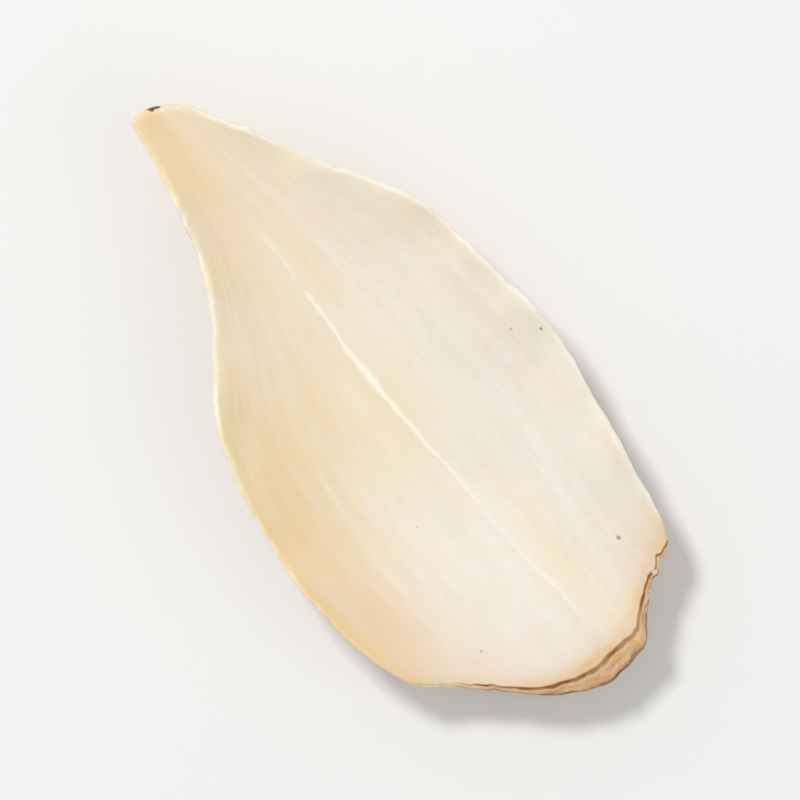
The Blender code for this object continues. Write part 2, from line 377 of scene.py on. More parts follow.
def smooth_step(t):
    """0 up to t = 0, 1 from t = 1, and a smooth rise between."""
    t = np.clip(t, 0, 1)
    return t * t * (3 - 2 * t)


def rise(value, ends):
    """0 before the first of two ends, 1 after the second, and a smooth rise between."""
    start, end = ends
    return smooth_step((value - start) / (end - start))


def window(x, span):
    """1 inside a span of (start, end, fade), fading to 0 over fade at each end."""
    start, end, fade = span
    return smooth_step(np.clip((x - start) / fade, 0, 1) * np.clip((end - x) / fade, 0, 1))


def bump(distance, half_width):
    """1 where the distance is 0, falling away like a bell."""
    return np.exp(-((distance / half_width) ** 2))


def noise(u, v, seed):
    """Smooth noise from -1 to 1, with one random value at each whole u and v."""
    table = np.random.default_rng(seed).uniform(-1, 1, (NOISE_PERIOD, NOISE_PERIOD))
    u0, v0 = np.floor(u).astype(int), np.floor(v).astype(int)
    fu, fv = smooth_step(u - u0), smooth_step(v - v0)

    def at(i, j):
        return table[(u0 + i) % NOISE_PERIOD, (v0 + j) % NOISE_PERIOD]

    return (at(0, 0) * (1 - fu) + at(1, 0) * fu) * (1 - fv) + (at(0, 1) * (1 - fu) + at(1, 1) * fu) * fv


def layered(u, v, layers, number=0):
    """Layers of noise added up. The number goes onto their seeds."""
    total = 0 * u
    for strength, u_rate, v_rate, seed in layers:
        total = total + strength * noise(u * u_rate, v * v_rate, seed + number)
    return total


# --- The blade's form -----------------------------------------------------------------------------


def half_blade(margin, base, tip, along, out):
    """Plan of one half: a patch between the vein, its margin, and its halves of base and tip."""
    vein_side = point_at(VEIN, along)
    margin_side = point_at(margin, along)
    ends = (1 - along) * point_at(base, out) + along * point_at(tip, out)
    corners = [point_at(curve, np.full_like(along, end)) for curve in (VEIN, margin) for end in (0, 1)]
    near = (1 - along) * corners[0] + along * corners[1]
    far = (1 - along) * corners[2] + along * corners[3]
    return (1 - out) * (vein_side - near) + out * (margin_side - far) + ends


def plan(along, across):
    """Plan position, x and y, of these places."""
    out = np.abs(across)
    left = half_blade(LEFT_MARGIN, BASE_LEFT, TIP_LEFT, along, out)
    right = half_blade(RIGHT_MARGIN, BASE_RIGHT, TIP_RIGHT, along, out)
    return np.where(across > 0, left, right)


def ruffle(x, out, waves):
    """The waves of a margin, which are gone well inside it and at the tip."""
    total = sum(height * np.sin(2 * math.pi * (x / length + start)) for height, length, start in waves)
    return total * out**WAVE_POWER * window(x, WAVE_SPAN)


def hollow_height(x, across):
    """Height of the hollow face, without its relief."""
    out = np.abs(across)
    left = height_at(LEFT_RISE, x) * out**LEFT_POWER + ruffle(x, out, LEFT_WAVES)
    right = height_at(RIGHT_RISE, x) * out**RIGHT_POWER + ruffle(x, out, RIGHT_WAVES)
    crease = CREASE_LIFT * np.hypot(out, CREASE_ROUNDING) * window(x, CREASE_SPAN)
    return height_at(KEEL, x) + crease + np.where(across > 0, left, right)


def thickness(x, along, across):
    """Thickness of the blade, without its relief and before its edges are rounded."""
    out = np.abs(across)
    to_corner = rise(out, CORNER_OUT) * np.exp(-along * BLADE_LENGTH / CORNER_LENGTH)
    core = height_at(CORE_THICKNESS, x) * (1 - CORNER_THINNING * to_corner)
    return MARGIN_THICKNESS + (core - MARGIN_THICKNESS) * (1 - np.clip(out, 0, 1) ** THINNING_POWER)


# --- The fine grid --------------------------------------------------------------------------------


def edge_profile(rows, reach, power, half_height):
    """Steps from an edge's outermost line inwards: (distance in, share of the half thickness lost)."""
    turn = np.linspace(0, math.pi / 2, EDGE_SAMPLES)
    inset = reach * (1 - np.cos(turn) ** (2 / power))
    lost = 1 - np.sin(turn) ** (2 / power)
    run = np.concatenate([[0], np.cumsum(np.hypot(np.diff(inset), np.diff(lost) * half_height))])
    at = np.linspace(0, run[-1], rows + 1)
    return np.interp(at, run, inset), np.interp(at, run, lost)


def nicks(x, side):
    """How far the outline is drawn in at x by nicks and by a fine unevenness."""
    drawn_in = layered(x, np.ones_like(x), OUTLINE_NOISE[side])
    for nick_side, nick_x, depth, half_length in NICKS:
        if nick_side == side:
            drawn_in = drawn_in + depth * bump(x - nick_x, half_length)
    return drawn_in


def grid_rows():
    """Places along the blade, and what each loses of the half thickness at the base and at both ends."""
    base_inset, base_lost = edge_profile(*BASE_EDGE)
    tip_inset, tip_lost = edge_profile(*TIP_EDGE)
    inner = np.linspace(base_inset[-1], BLADE_LENGTH - tip_inset[-1], FACES_ALONG + 1)[1:-1]
    row = np.concatenate([base_inset, inner, BLADE_LENGTH - tip_inset[::-1]]) / BLADE_LENGTH
    to_base = np.concatenate([base_lost, 0 * inner, 0 * tip_lost])
    to_tip = np.concatenate([0 * base_lost, 0 * inner, tip_lost[::-1]])
    return row, to_base, to_base + to_tip


def grid_columns(row):
    """across at each row and column, and what each column loses of the half thickness at a margin."""
    inset, lost = edge_profile(*MARGIN_EDGE)
    inner = np.linspace(0, 1, FACES_ACROSS // 2 + 1)[:-1] ** WARP
    out = np.concatenate([inner, np.ones_like(inset)])
    out_inset = np.concatenate([0 * inner, inset[::-1] - inset[-1]])
    out_lost = np.concatenate([0 * inner, lost[::-1]])
    vein_x = point_at(VEIN, row)[0]
    halves = {}
    for side, margin in ((RIGHT, RIGHT_MARGIN), (LEFT, LEFT_MARGIN)):
        width = np.linalg.norm(point_at(margin, row) - point_at(VEIN, row), axis=0) * CURVE_GAIN
        widest = 1 - (inset[-1] - OUTLINE_GAIN + nicks(vein_x, side)) / width
        halves[side] = side * (out * widest[:, None] - out_inset / width[:, None])
    across = np.concatenate([halves[RIGHT][:, :0:-1], halves[LEFT]], axis=1)
    return across, np.concatenate([out_lost[:0:-1], out_lost])


def make_grid():
    """The places of the grid's points, and the shares of the half thickness lost there at the edges."""
    row, to_base, to_ends = grid_rows()
    across, to_margins = grid_columns(row)
    ragged = layered(across, across, RAGGED_NOISE)
    for place, depth, half_width in TEARS:
        ragged += depth * bump(across - place, half_width)
    near_base = np.exp(-row * BLADE_LENGTH / TEAR_REACH)[:, None]
    along = row[:, None] + ragged * near_base / BLADE_LENGTH
    x, y = plan(along, across)
    lost = 1 - (1 - to_ends[:, None]) * (1 - to_margins)
    base_lost = to_base[:, None] + 0 * across
    s = along * BLADE_LENGTH
    t = across * BLADE_HALF_WIDTH
    return SimpleNamespace(along=along, across=across, x=x, y=y, s=s, t=t, lost=lost, base_lost=base_lost)


def surface_normals(points):
    """Unit normals of a grid of points, up out of the hollow, each evened out with its neighbours."""
    normals = np.cross(np.gradient(points, axis=0), np.gradient(points, axis=1))
    normals /= np.linalg.norm(normals, axis=2, keepdims=True)
    for _ in range(EVENING_ROUNDS):
        wider = np.pad(normals, ((1, 1), (1, 1), (0, 0)), mode="edge")
        normals = (wider[:-2, 1:-1] + wider[2:, 1:-1] + wider[1:-1, :-2] + wider[1:-1, 2:]) / 4
    return normals / np.linalg.norm(normals, axis=2, keepdims=True)


def add_mid_vein(grid):
    """How far each place is from the mid vein, and how plainly the vein shows there, from 0 to 1."""
    grid.from_vein = grid.y - point_at(VEIN, grid.along)[1] - layered(grid.s, grid.s, VEIN_WANDER)
    widening = VEIN_WIDENING * bump(grid.x - VEIN_WIDEST_X, VEIN_WIDEST_HALF_LENGTH)
    half_width = VEIN_HALF_WIDTH + layered(grid.s, grid.s, VEIN_BEADS) + widening
    strength = height_at(VEIN_STRENGTH, grid.x) * (VEIN_STEADY + layered(grid.s, grid.s, VEIN_FADING))
    grid.vein = np.clip(strength, 0, 1) * bump(grid.from_vein, half_width) * window(grid.x, VEIN_SPAN)


def add_lesser_veins(grid):
    """How plainly the lesser veins show at each place, from 0 to 1, and how high they stand."""
    grid.lesser = 0 * grid.x
    grid.lesser_height = 0 * grid.x
    tallest = max(tall for _, tall, _, _ in LESSER_VEINS)
    for number, (lane, tall, half_width, shown) in enumerate(LESSER_VEINS):
        away = grid.t - BLADE_HALF_WIDTH * lane - layered(grid.s, grid.s, LESSER_WANDER, number)
        strength = LESSER_STEADY + layered(grid.s, grid.s, LESSER_FADING, number)
        line = np.clip(strength, 0, 1) * bump(away, half_width) * window(grid.x, (*shown, LESSER_FADE))
        grid.lesser_height += tall * line
        grid.lesser = np.maximum(grid.lesser, line * tall / tallest)


def puckers(grid, layers, start):
    """Puckers that grow from the place called start, on the way out, to the margin."""
    growth = np.clip((np.abs(grid.across) - start) / (1 - start), 0, 1) ** PUCKER_POWER
    return layered(grid.s, grid.t, layers) * growth


def hollow_relief(grid):
    """What stands out of the hollow face: veins, trough, buckles, wrinkles and puckers."""
    swell = VEIN_SWELL * bump(grid.from_vein, VEIN_SWELL_HALF_WIDTH) * window(grid.x, VEIN_SPAN)
    trough = TROUGH_DEPTH * bump(grid.y - TROUGH_Y, TROUGH_HALF_WIDTH) * window(grid.x, TROUGH_SPAN)
    height = VEIN_HEIGHT * grid.vein + swell - trough + layered(grid.s, grid.t, HOLLOW_BUCKLES)
    fine = grid.lesser_height + layered(grid.s, grid.t, HOLLOW_WRINKLES)
    return height + fine * window(grid.x, WIDE_SPAN) + puckers(grid, HOLLOW_PUCKERS, HOLLOW_PUCKERS_OUT)


def belly_relief(grid):
    """What stands out of the belly: ribs, buckles, wrinkles and puckers."""
    out = np.abs(grid.across)
    ribs = RIB_HEIGHT * (0.5 + 0.5 * np.cos(2 * math.pi * RIBS_EACH_SIDE * out))
    inside = np.sin(math.pi * np.clip(grid.along, 0, 1)) * np.clip(1 - out**RIB_POWER, 0, 1)
    height = ribs * inside + layered(grid.s, grid.t, BELLY_BUCKLES)
    fine = layered(grid.s, grid.t, BELLY_WRINKLES)
    return height + fine * window(grid.x, WIDE_SPAN) + puckers(grid, BELLY_PUCKERS, BELLY_PUCKERS_OUT)


def broken_fibres(grid, depth):
    """How far the fibres of the broken base stand out of it, at this depth through the blade."""
    return layered(grid.t, depth, FIBRE_NOISE) * np.clip(grid.base_lost * FIBRE_GROWTH, 0, 1)


def slant(grid):
    """How far the hollow face draws back from the break."""
    drawn_back = np.exp(-np.clip(grid.s - BASE_EDGE_REACH, 0, None) / SLANT_REACH)
    return SLANT_DEPTH * bump(grid.y - SLANT_Y, SLANT_HALF_WIDTH) * np.sqrt(1 - grid.lost) * drawn_back


def make_surfaces():
    """The grid, and the positions of its hollow face and belly, which meet at their edges."""
    grid = make_grid()
    add_mid_vein(grid)
    add_lesser_veins(grid)
    hollow = np.stack([grid.x, grid.y, hollow_height(grid.x, grid.across)], 2)
    up = surface_normals(hollow)
    outward = -np.gradient(hollow, axis=0)
    outward /= np.linalg.norm(outward, axis=2, keepdims=True)
    thick = thickness(grid.x, grid.along, grid.across)
    sink = grid.lost * thick / 2
    inside = np.sqrt(1 - grid.lost)
    top = hollow + up * (hollow_relief(grid) * inside - sink)[..., None]
    low = hollow + up * (sink - thick - belly_relief(grid) * inside)[..., None]
    top += outward * (broken_fibres(grid, grid.lost) - slant(grid))[..., None]
    low += outward * broken_fibres(grid, 2 - grid.lost)[..., None]
    edge = grid.lost >= 1
    low[edge] = top[edge]
    return grid, top, low


def seat(top, low):
    """Moves both faces, in place, to where the CAD node stands, and flattens the belly on the ground."""
    points = np.concatenate([top.reshape(-1, 3), low.reshape(-1, 3)])
    node_low, node_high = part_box(NODE)
    middle = (np.array(node_low) + np.array(node_high)) / 2 / MM
    shift = middle - (points.min(axis=0) + points.max(axis=0)) / 2
    shift[2] = node_low[2] / MM - points[:, 2].min() - FLAT_DEPTH
    for face in (top, low):
        face += shift
        face[..., 2] = np.maximum(face[..., 2], node_low[2] / MM)
    return shift


# --- Where the colours lie on the grid ------------------------------------------------------------


def patches(grid, places):
    """The strength of each patch in its middle, fading out round it."""
    total = 0 * grid.x
    for x, y, half_length, half_width, strength in places:
        away = ((grid.x - x) / half_length) ** 2 + ((grid.y - y) / half_width) ** 2
        total = np.maximum(total, strength * np.exp(-away))
    return total


def distance_in(points):
    """How far each point of the grid lies from the margins and the tip, along the grid's lines."""
    across = np.linalg.norm(np.diff(points, axis=1), axis=2)
    from_right = np.pad(np.cumsum(across, axis=1), ((0, 0), (1, 0)))
    from_left = from_right[:, -1:] - from_right
    along = np.linalg.norm(np.diff(points, axis=0), axis=2)
    from_base = np.pad(np.cumsum(along, axis=0), ((1, 0), (0, 0)))
    from_tip = from_base[-1:] - from_base
    return np.minimum(np.minimum(from_left, from_right), from_tip)


def near_base(grid, reach):
    """1 at the broken base, dying out over the reach."""
    return np.exp(-np.clip(grid.s, 0, None) / reach)


def tan_and_shadow_share(grid):
    """How tan the hollow face is: towards the tip, up the left side as a painted shadow, and beside the
    broken base.
    """
    on_left = rise(grid.across, TAN_CROSSING)
    to_tip = on_left * height_at(TAN_AND_SHADE_LEFT, grid.x) + (1 - on_left) * height_at(TAN_RIGHT, grid.x)
    # Painted shadow up the left side.
    painted_shadow_up_left = rise(grid.across, SHADOW_TAN_UP_LEFT_ACROSS) * window(grid.x, SHADOW_TAN_UP_LEFT_SPAN)
    by_base = near_base(grid, TAN_BY_BASE_REACH)
    return np.clip(to_tip + SHADOW_TAN_UP_LEFT * painted_shadow_up_left + TAN_BY_BASE * by_base, 0, 1)


def belly_tan_share(grid):
    """How tan the belly is: most at the tip and along the keel near the base."""
    start, end = BELLY_TAN_TIP_ENDS
    to_tip = np.clip((grid.x - start) / (end - start), 0, 1)
    keel = bump(grid.across, BELLY_TAN_KEEL_OUT) * np.clip(1 - grid.x / BELLY_TAN_KEEL_END, 0, 1)
    return np.clip(BELLY_TAN + BELLY_TAN_TO_TIP * to_tip + BELLY_TAN_KEEL * keel, 0, 1)


def browned_share(grid):
    """How brown the break is: its left end has stayed pale."""
    return 1 - rise(grid.y + layered(grid.t, grid.t, BROWNED_NOISE), BROWNED_ENDS)


def scorch_share(grid):
    """How scorched the hollow face is beside the broken base."""
    away = np.clip(grid.s - SCORCH_START, 0, None)
    bands = sum(strength * bump(away, width) for strength, width in SCORCH_BANDS)
    return bump(grid.y - SCORCH_Y, SCORCH_HALF_WIDTH) * bands


# --- The mesh -------------------------------------------------------------------------------------


def grid_faces(index, flip):
    """The faces between the grid's points, as rows of four point numbers."""
    corners = [index[:-1, :-1], index[1:, :-1], index[1:, 1:], index[:-1, 1:]]
    if flip:
        corners = corners[::-1]
    return np.stack([corner.ravel() for corner in corners], 1)


def store(mesh, name, values):
    """Keeps one number, or three, at each vertex under this name, for the material."""
    kind, field = ("FLOAT_VECTOR", "vector") if values.ndim == 2 else ("FLOAT", "value")
    attribute = mesh.attributes.new(name, kind, "POINT")
    attribute.data.foreach_set(field, values.ravel().astype(np.float32))


def make_blade():
    """The blade as one closed mesh, with its places stored on it for the material, and its shift."""
    grid, top, low = make_surfaces()
    shift = seat(top, low)
    apart = grid.lost < 1
    index = np.arange(apart.size).reshape(apart.shape)
    low_index = index.copy()
    low_index[apart] = apart.size + np.arange(apart.sum())
    points = np.concatenate([top.reshape(-1, 3), low[apart]]) * MM
    faces = np.concatenate([grid_faces(index, True), grid_faces(low_index, False)])
    mesh = bpy.data.meshes.new("dried_lily_scale")
    mesh.from_pydata(points, [], faces)
    mesh.shade_smooth()

    def both(values, low_values=None):
        low_values = values if low_values is None else low_values
        return np.concatenate([values.ravel(), low_values[apart]])

    none = 0 * grid.x
    stored = {
        "flow": np.stack([both(grid.s), both(grid.t), both(none)], 1),
        "belly": both(none, none + 1),
        "from_edge": both(distance_in(top), distance_in(low)),
        "vein": both(grid.vein, none),
        "lesser": both(grid.lesser, LESSER_ON_BELLY * grid.lesser),
        "broken": both(grid.base_lost),
        # The hollow face's tan share holds a painted shadow on its left side; the belly's is its own tan.
        "tan": both(tan_and_shadow_share(grid), belly_tan_share(grid)),
        "wide": both(window(grid.x, WIDE_SPAN)),
        # The yellow patches hold painted shade along the trough and across the middle, besides real
        # yellow.
        "yellow": both(patches(grid, YELLOW_AND_SHADE_PATCHES), none),
        "rose": both(patches(grid, ROSE_PATCHES), none),
        # The amber patches and rims hold a painted shadow up the lower left margin besides real amber.
        "amber": both(patches(grid, AMBER_AND_SHADOW_PATCHES), none),
        "amber_and_shadow_rim": both(patches(grid, AMBER_AND_SHADOW_RIMS)),
        "dull": both(DULL_SHARE * near_base(grid, DULL_REACH)),
        "scorch": both(scorch_share(grid), np.exp(-grid.s / BELLY_SCORCH_REACH)),
        "browned": both(browned_share(grid)),
    }
    for name, values in stored.items():
        store(mesh, name, values)
    blade = bpy.data.objects.new("dried_lily_scale", mesh)
    bpy.context.scene.collection.objects.link(blade)
    return blade, shift


# --- Shader nodes ---------------------------------------------------------------------------------


class Nodes:
    """Short ways to add and link shader nodes."""

    def __init__(self, material):
        material.use_nodes = True
        self.tree = material.node_tree
        self.shader = self.tree.nodes["Principled BSDF"]
        self.place = self.tree.nodes.new("ShaderNodeTexCoord").outputs["Object"]

    def set(self, socket, value):
        """Gives a socket a value of its own, or links it to another node's."""
        if isinstance(value, bpy.types.NodeSocket):
            self.tree.links.new(value, socket)
        else:
            socket.default_value = value

    def attribute(self, name, output="Fac"):
        node = self.tree.nodes.new("ShaderNodeAttribute")
        node.attribute_name = name
        return node.outputs[output]

    def math(self, operation, a, b, clamp=False):
        node = self.tree.nodes.new("ShaderNodeMath")
        node.operation = operation
        node.use_clamp = clamp
        self.set(node.inputs[0], a)
        self.set(node.inputs[1], b)
        return node.outputs[0]

    def times(self, a, b, clamp=False):
        return self.math("MULTIPLY", a, b, clamp)

    def mean(self, a, b):
        return self.times(self.math("ADD", a, b), 0.5)

    def noise(self, vector, scale, detail, roughness):
        node = self.tree.nodes.new("ShaderNodeTexNoise")
        self.set(node.inputs["Vector"], vector)
        node.inputs["Scale"].default_value = scale
        node.inputs["Detail"].default_value = detail
        node.inputs["Roughness"].default_value = roughness
        return node.outputs["Fac"]

    def ramp(self, value, low, high, to_low=0.0, to_high=1.0):
        """value from low to high, made to run smoothly from to_low to to_high."""
        node = self.tree.nodes.new("ShaderNodeMapRange")
        node.interpolation_type = "SMOOTHSTEP"
        self.set(node.inputs["Value"], value)
        node.inputs["From Min"].default_value = low
        node.inputs["From Max"].default_value = high
        node.inputs["To Min"].default_value = to_low
        node.inputs["To Max"].default_value = to_high
        return node.outputs["Result"]

    def mix(self, share, under, over):
        """A colour between two others."""
        node = self.tree.nodes.new("ShaderNodeMix")
        node.data_type = "RGBA"
        self.set(node.inputs["Factor"], share)
        self.set(node.inputs["A"], under if isinstance(under, bpy.types.NodeSocket) else (*under, 1.0))
        self.set(node.inputs["B"], over if isinstance(over, bpy.types.NodeSocket) else (*over, 1.0))
        return node.outputs["Result"]

    def blend(self, share, under, over):
        """A number between two others."""
        node = self.tree.nodes.new("ShaderNodeMix")
        self.set(node.inputs["Factor"], share)
        self.set(node.inputs["A"], under)
        self.set(node.inputs["B"], over)
        return node.outputs["Result"]

    def spot(self, centre, radii, strength):
        """How plainly an uneven oval with this centre and these three radii, in metres, shows."""
        node = self.tree.nodes.new("ShaderNodeMapping")
        node.vector_type = "TEXTURE"
        node.inputs["Location"].default_value = centre
        node.inputs["Scale"].default_value = radii
        self.set(node.inputs["Vector"], self.place)
        length = self.tree.nodes.new("ShaderNodeVectorMath")
        length.operation = "LENGTH"
        self.set(length.inputs[0], node.outputs[0])
        away = self.math("ADD", length.outputs["Value"], self.noise(self.place, *SPOT_NOISE))
        return self.ramp(away, *SPOT_EDGE, strength, 0.0)

    def bump(self, height, distance, under=None):
        """Normals for this height, on top of those from under."""
        node = self.tree.nodes.new("ShaderNodeBump")
        node.inputs["Distance"].default_value = distance
        self.set(node.inputs["Height"], height)
        if under is not None:
            self.set(node.inputs["Normal"], under)
        return node.outputs["Normal"]


# --- The dried flesh ------------------------------------------------------------------------------

# Streaks follow the veins, with this many cells of noise to a millimetre along and across them.
STREAK_CELLS = (0.10, 0.9, 1.0)
FINE_STREAK_CELLS = (0.30, 2.8, 1.0)
# Noises: cells to a metre, but to a cell of the above for the streaks, then detail and roughness.
STREAK_NOISE = (1.0, 3.0, 0.6)
BELLY_CLOUD_NOISE = (120.0, 3.0, 0.6)
MOTTLE_NOISE = (170.0, 3.0, 0.55)
RIM_NOISE = (420.0, 3.0, 0.6)
BLOTCH_NOISE = (650.0, 2.0, 0.5)
PEBBLE_NOISE = (900.0, 3.0, 0.6)
CRUMB_NOISE = (1300.0, 4.0, 0.65)
GRAIN_NOISE = (2600.0, 2.0, 0.6)
CRUMBLE_NOISE = (3500.0, 4.0, 0.7)
SPOT_NOISE = (4000.0, 1.0, 0.5)
# A spot fades out between these distances, in its own radii, which its noise adds about a half to.
SPOT_EDGE = (1.3, 1.65)
# A radius in metres that makes a spot reach through the whole blade.
THROUGH = 1.0

# Ramps: a value from the first to the second number becomes one from the third to the fourth, or
# else from 0 to 1. The first ones turn noises into shares of a colour. Where the blade is narrow,
# the share without streaks takes the place of the streaks of tan.
PALE_CLOUDS = (0.36, 0.64)
TAN_MOTTLE = (0.25, 0.7, 0.65, 1.05)
TAN_STREAKS = (0.38, 0.62, 1.06, 0.78)
TAN_UNSTREAKED = 0.95
PALE_FINE_STREAKS = (0.5, 0.8, 0.0, 0.10)
TAN_CLOUDS = (0.5, 0.75, 0.0, 0.15)
YELLOW_BLOTCHES = (0.5, 0.8, 0.0, 0.22)
BELLY_CLOUDS = (0.45, 0.7, 0.0, 0.5)
TAN_GRAIN = (0.55, 0.8, 0.0, 0.16)
# Shares of the paler colours of the veins.
VEIN_SHARE = 0.9
LESSER_VEIN_SHARE = 0.3
# Ramps of the distance from the margin, in millimetres, with this unevenness added to it.
RIM_UNEVENNESS = (0.3, 0.7, -0.12, 0.12)
AMBER_BAND = (0.2, 1.6, 1.0, 0.0)
# The pale rim ramp paints a highlight along the lit edge as well as the margin's paler tone.
PALE_RIM_AND_HIGHLIGHT = (0.02, 0.2, 0.7, 0.0)
AMBER_RIM = (0.05, 0.45, 1.0, 0.0)
# Ramps of the share of the half thickness lost at the base, which grows from 0 on both faces to 1
# at the outermost line of the break. The brown lines end at a share with crumbs added to it.
BREAK_START = (0.04, 0.2)
CRUST_START = (0.0, 0.2)
HOLLOW_LINE_START = (0.0, 0.04)
HOLLOW_LINE_END = (0.12, 0.36, 1.0, 0.0)
BELLY_LINE_START = (0.0, 0.03)
BELLY_LINE_END = (0.45, 0.95, 1.0, 0.0)
CRUMB_UNEVENNESS = (0.3, 0.7, -0.07, 0.07)
# Ramps of noises again, for the break.
DARK_CRUMBS = (0.35, 0.7)
LINE_UNEVENNESS = (0.3, 0.6, 0.6, 1.0)
SCORCH_UNEVENNESS = (0.3, 0.7, 0.45, 1.0)

# Roughness, as a ramp of the streaks.
ROUGHNESS = (0.3, 0.7, 0.62, 0.5)
SPECULAR = 0.35
# Subsurface weight, as a ramp of the browned crust of the break, which lets less light in.
SUBSURFACE = (0.0, 1.0, 0.5, 0.1)
SUBSURFACE_RADIUS = (1.0, 0.55, 0.28)
SUBSURFACE_SCALE = 0.002
# Heights of the bumps, in metres.
STREAK_BUMP = 0.00003
PEBBLE_BUMP = 0.00005
CRUMBLE_BUMP = 0.0004
GRAIN_BUMP = 0.00002


class Flesh(Nodes):
    """The steps of the dried flesh's colour and relief, and the noises that they share."""

    def __init__(self, material):
        super().__init__(material)
        self.streaks = self.streaked(STREAK_CELLS)
        self.fine_streaks = self.streaked(FINE_STREAK_CELLS)
        self.mottle = self.noise(self.place, *MOTTLE_NOISE)
        self.grain = self.noise(self.place, *GRAIN_NOISE)
        self.rim_noise = self.noise(self.place, *RIM_NOISE)
        self.belly = self.attribute("belly")
        self.broken = self.attribute("broken")
        self.browned = self.attribute("browned")

    def streaked(self, cells):
        """Noise drawn out along the veins."""
        node = self.tree.nodes.new("ShaderNodeMapping")
        self.set(node.inputs["Vector"], self.attribute("flow", "Vector"))
        node.inputs["Scale"].default_value = cells
        return self.noise(node.outputs[0], *STREAK_NOISE)

    def ground(self):
        """Cream, clouded paler, streaked with tan, and with patches of the other tones. Part of the tan
        and of the yellow and amber patches is painted shade.
        """
        cloudy = self.mean(self.streaks, self.mottle)
        colour = self.mix(self.ramp(cloudy, *PALE_CLOUDS), CREAM, PALE)
        tan = self.times(self.attribute("tan"), self.ramp(self.mottle, *TAN_MOTTLE))
        streaks = self.ramp(self.streaks, *TAN_STREAKS)
        streaks = self.blend(self.attribute("wide"), TAN_UNSTREAKED, streaks)
        colour = self.mix(self.times(tan, streaks, clamp=True), colour, TAN)
        colour = self.mix(self.ramp(self.fine_streaks, *PALE_FINE_STREAKS), colour, PALE)
        colour = self.mix(self.ramp(self.mottle, *TAN_CLOUDS), colour, TAN)
        blotches = self.noise(self.place, *BLOTCH_NOISE)
        colour = self.mix(self.ramp(blotches, *YELLOW_BLOTCHES), colour, YELLOW)
        clouds = self.times(self.noise(self.place, *BELLY_CLOUD_NOISE), self.belly)
        colour = self.mix(self.ramp(clouds, *BELLY_CLOUDS), colour, BELLY_CLOUD)
        # The yellow and amber patches hold painted shade and shadow besides the flesh's own tones.
        for name, tone in (("dull", DULL), ("yellow", YELLOW), ("rose", ROSE), ("amber", AMBER)):
            colour = self.mix(self.attribute(name), colour, tone)
        return self.mix(self.ramp(self.grain, *TAN_GRAIN), colour, TAN)

    def veins(self, colour):
        """Veins stand paler."""
        colour = self.mix(self.times(self.attribute("lesser"), LESSER_VEIN_SHARE), colour, PALE)
        return self.mix(self.times(self.attribute("vein"), VEIN_SHARE), colour, VEIN_COLOUR)

    def rims(self, colour):
        """The thin margins have a fine pale rim, partly a painted highlight where the edge catches the
        light, amber in places, and up the lower left margin that amber is a painted shadow.
        """
        unevenness = self.ramp(self.rim_noise, *RIM_UNEVENNESS)
        away = self.math("ADD", self.attribute("from_edge"), unevenness)
        # The amber rims are the flesh's own amber beside the base, and a painted shadow up the lower left
        # margin.
        amber = self.attribute("amber_and_shadow_rim")
        colour = self.mix(self.times(self.ramp(away, *AMBER_BAND), amber), colour, AMBER)
        colour = self.mix(self.ramp(away, *PALE_RIM_AND_HIGHLIGHT), colour, RIM_AND_HIGHLIGHT)
        return self.mix(self.times(self.ramp(away, *AMBER_RIM), amber), colour, AMBER)

    def broken_base(self, colour):
        """The break is crumbly and pinkish brown, brightened as painted bounce light, and both faces are
        scorched beside it.
        """
        scorch = self.times(self.attribute("scorch"), self.ramp(self.rim_noise, *SCORCH_UNEVENNESS))
        colour = self.mix(scorch, colour, SCORCHED)
        crumbs = self.noise(self.place, *CRUMB_NOISE)
        flesh = self.mix(self.ramp(crumbs, *DARK_CRUMBS), BROKEN_FLESH_AND_BOUNCE, BROKEN_DARK_AND_BOUNCE)
        flesh = self.mix(self.browned, PALE_BREAK_AND_BOUNCE, flesh)
        colour = self.mix(self.ramp(self.broken, *BREAK_START), colour, flesh)
        return self.mix(self.brown_lines(crumbs), colour, BROWN_LINE)

    def brown_lines(self, crumbs):
        """Lines where the browned break meets the two faces."""
        crumbled = self.math("ADD", self.broken, self.ramp(crumbs, *CRUMB_UNEVENNESS))
        hollow, belly = [
            self.times(self.ramp(self.broken, *start), self.ramp(crumbled, *end))
            for start, end in ((HOLLOW_LINE_START, HOLLOW_LINE_END), (BELLY_LINE_START, BELLY_LINE_END))
        ]
        lines = self.times(self.blend(self.belly, hollow, belly), self.browned)
        return self.times(lines, self.ramp(self.rim_noise, *LINE_UNEVENNESS))

    def marks(self, colour, shift):
        """The torn flap beside the break is pale, brightened as painted light. A few specks and the scar
        on the tip are dark.
        """
        marks = [(TORN_FLAP, FLAP_AND_PAINTED_LIGHT)] + [(speck, SPECK_COLOUR) for speck in SPECKS]
        for (x, y, half_length, half_width, strength), mark_colour in marks:
            centre = ((x + shift[0]) * MM, (y + shift[1]) * MM, 0)
            mark = self.spot(centre, (half_length * MM, half_width * MM, THROUGH), strength)
            colour = self.mix(self.math("SUBTRACT", mark, self.belly, clamp=True), colour, mark_colour)
        centre = [(at + moved) * MM for at, moved in zip(TIP_SCAR, shift)]
        scar = self.spot(centre, [radius * MM for radius in TIP_SCAR_RADII], 1.0)
        return self.mix(scar, colour, SCAR_COLOUR)

    def relief(self):
        """Fine streaks, pebbles and grain all over, and a crumbly break."""
        normals = self.bump(self.fine_streaks, STREAK_BUMP)
        normals = self.bump(self.noise(self.place, *PEBBLE_NOISE), PEBBLE_BUMP, normals)
        crumbles = self.times(self.noise(self.place, *CRUMBLE_NOISE), self.broken)
        normals = self.bump(crumbles, CRUMBLE_BUMP, normals)
        return self.bump(self.grain, GRAIN_BUMP, normals)


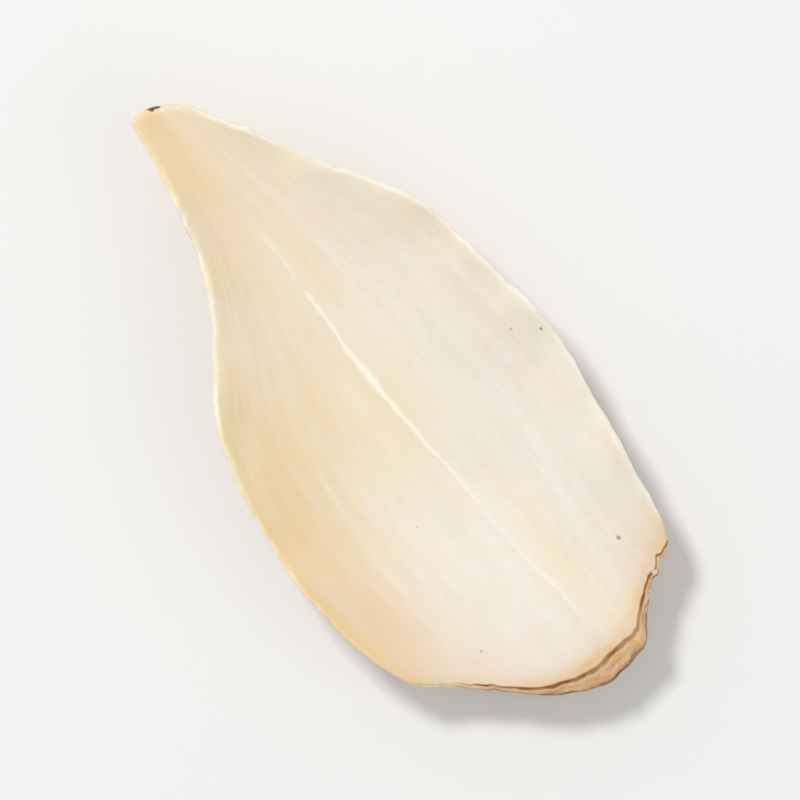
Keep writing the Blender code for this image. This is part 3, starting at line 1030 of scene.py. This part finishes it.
def dried_flesh(shift):
    """Cream flesh that turns tan towards the tip, with paler veins, amber rims and a brown break. Some of
    the tan, yellow and amber is painted shade, the pale rims are partly a painted highlight, and the
    break and the torn flap are brightened as painted light.
    """
    material = bpy.data.materials.new("dried_flesh")
    flesh = Flesh(material)
    colour = flesh.rims(flesh.veins(flesh.ground()))
    colour = flesh.marks(flesh.broken_base(colour), shift)
    crust = flesh.times(flesh.ramp(flesh.broken, *CRUST_START), flesh.browned)
    inputs = flesh.shader.inputs
    flesh.set(inputs["Base Color"], colour)
    flesh.set(inputs["Roughness"], flesh.ramp(flesh.streaks, *ROUGHNESS))
    flesh.set(inputs["Specular IOR Level"], SPECULAR)
    flesh.set(inputs["Subsurface Weight"], flesh.ramp(crust, *SUBSURFACE))
    flesh.set(inputs["Subsurface Radius"], SUBSURFACE_RADIUS)
    flesh.set(inputs["Subsurface Scale"], SUBSURFACE_SCALE)
    flesh.set(inputs["Normal"], flesh.relief())
    return material


# --- Floor, light and camera ----------------------------------------------------------------------


def plain_floor():
    """A square of floor at the height that the blade rests on."""
    half = FLOOR_HALF_SIZE
    corners = [(-half, -half, 0), (half, -half, 0), (half, half, 0), (-half, half, 0)]
    mesh = bpy.data.meshes.new("floor")
    mesh.from_pydata(corners, [], [(0, 1, 2, 3)])
    floor = bpy.data.objects.new("floor", mesh)
    bpy.context.scene.collection.objects.link(floor)
    material = bpy.data.materials.new("pale_floor")
    material.use_nodes = True
    shader = material.node_tree.nodes["Principled BSDF"]
    shader.inputs["Base Color"].default_value = FLOOR_COLOUR
    shader.inputs["Roughness"].default_value = FLOOR_ROUGHNESS
    mesh.materials.append(material)
    return floor


def soft_light(name, direction, distance, size, watts, colour):
    """A square light that shines on the origin from this direction."""
    data = bpy.data.lights.new(name, "AREA")
    data.size = size
    data.energy = watts
    data.color = colour
    light = bpy.data.objects.new(name, data)
    towards = Vector(direction).normalized()
    light.location = towards * distance
    light.rotation_euler = towards.to_track_quat("Z", "Y").to_euler()
    bpy.context.scene.collection.objects.link(light)


def pale_surroundings():
    """Even light from all round."""
    world = bpy.data.worlds.new("studio")
    world.use_nodes = True
    background = world.node_tree.nodes["Background"]
    background.inputs["Color"].default_value = AMBIENT_COLOUR
    background.inputs["Strength"].default_value = AMBIENT
    bpy.context.scene.world = world


def camera_above(blade):
    """Looks straight down, turned so that the blade lies as it does in the photograph."""
    points = np.array([vertex.co for vertex in blade.data.vertices])
    across = points @ np.array(IMAGE_RIGHT)
    upward = points @ np.array(IMAGE_UP)
    centre_across = (across.min() + across.max()) / 2
    centre_upward = (upward.min() + upward.max()) / 2
    data = bpy.data.cameras.new("camera")
    data.lens = LENS
    data.clip_start = CAMERA_NEAR
    camera = bpy.data.objects.new("camera", data)
    right, up, back = Vector(IMAGE_RIGHT), Vector(IMAGE_UP), Vector((0, 0, 1))
    turn = Matrix((right, up, back)).transposed().to_4x4()
    place = right * centre_across + up * centre_upward + back * CAMERA_HEIGHT
    camera.matrix_world = Matrix.Translation(place) @ turn
    bpy.context.scene.collection.objects.link(camera)
    bpy.context.scene.camera = camera


blade, plan_shift = make_blade()
blade.data.materials.append(dried_flesh(plan_shift))
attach(blade, "root")
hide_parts(NODE)
plain_floor()
soft_light("key", *KEY_LIGHT)
soft_light("fill", *FILL_LIGHT)
pale_surroundings()
camera_above(blade)
bpy.context.scene.view_settings.view_transform = "Standard"
